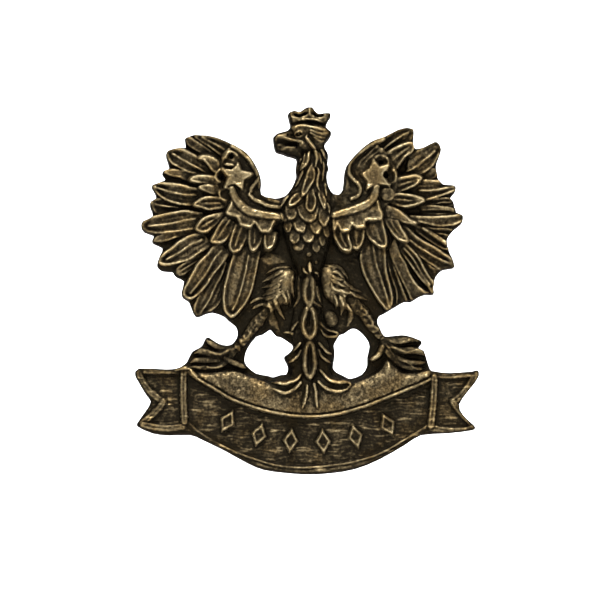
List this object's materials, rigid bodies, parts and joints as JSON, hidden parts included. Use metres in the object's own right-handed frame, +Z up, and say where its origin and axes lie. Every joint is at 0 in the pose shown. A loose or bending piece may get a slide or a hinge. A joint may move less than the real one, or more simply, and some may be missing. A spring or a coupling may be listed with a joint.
{
  "type": "cap badge",
  "caption": "Cast cap badge: a crowned eagle over a plain scroll, with pin posts on its back and butterfly clutches whose sprung wings let go of them.",
  "frame": {"origin": "the point of the flat cast back midway between the axes of the two posts", "axes": "the badge stands upright as worn: +X is the viewer's right, +Z is up, and +Y points out of the back, so the face looks along -Y"},
  "size_m": [0.0416, 0.013, 0.0447],
  "materials": {
    "antique_brass": "antiqued cast brass, dark in the recesses and rubbed bright on the ridges",
    "clutch_brass": "bright stamped brass",
    "spring_brass": "bright spring brass strip",
    "post_steel": "plated wire, drawn",
    "solder": "dull tin solder"
  },
  "bodies": {
    "badge": {"badge_casting": "antique_brass", "left_post": "post_steel", "left_solder": "solder", "right_post": "post_steel", "right_solder": "solder"},
    "left_clutch": {"left_clutch_base": "clutch_brass", "left_clutch_cover": "clutch_brass", "left_clutch_spring": "spring_brass"},
    "left_wing_a": {"left_clutch_wing_a": "spring_brass"},
    "left_wing_b": {"left_clutch_wing_b": "spring_brass"},
    "right_clutch": {"right_clutch_base": "clutch_brass", "right_clutch_cover": "clutch_brass", "right_clutch_spring": "spring_brass"},
    "right_wing_a": {"right_clutch_wing_a": "spring_brass"},
    "right_wing_b": {"right_clutch_wing_b": "spring_brass"}
  },
  "joints": [
    {"name": "left_clutch_pull", "type": "slide", "parent": "badge", "child": "left_clutch", "axis": [0, 1, 0], "range_m": [-0.0017, 0.0071]},
    {"name": "left_wing_a_squeeze", "type": "slide", "parent": "left_clutch", "child": "left_wing_a", "axis": [-1, 0, 0], "range_m": [0, 0.0007], "stiffness_N_per_m": 800},
    {"name": "left_wing_b_squeeze", "type": "slide", "parent": "left_clutch", "child": "left_wing_b", "axis": [1, 0, 0], "range_m": [0, 0.0007], "stiffness_N_per_m": 800},
    {"name": "right_clutch_pull", "type": "slide", "parent": "badge", "child": "right_clutch", "axis": [0, 1, 0], "range_m": [-0.0017, 0.0071]},
    {"name": "right_wing_a_squeeze", "type": "slide", "parent": "right_clutch", "child": "right_wing_a", "axis": [-1, 0, 0], "range_m": [0, 0.0007], "stiffness_N_per_m": 800},
    {"name": "right_wing_b_squeeze", "type": "slide", "parent": "right_clutch", "child": "right_wing_b", "axis": [1, 0, 0], "range_m": [0, 0.0007], "stiffness_N_per_m": 800}
  ],
  "couplings": [
    {"joint": "left_wing_b_squeeze", "follows": "left_wing_a_squeeze", "ratio": 1},
    {"joint": "right_wing_b_squeeze", "follows": "right_wing_a_squeeze", "ratio": 1}
  ]
}
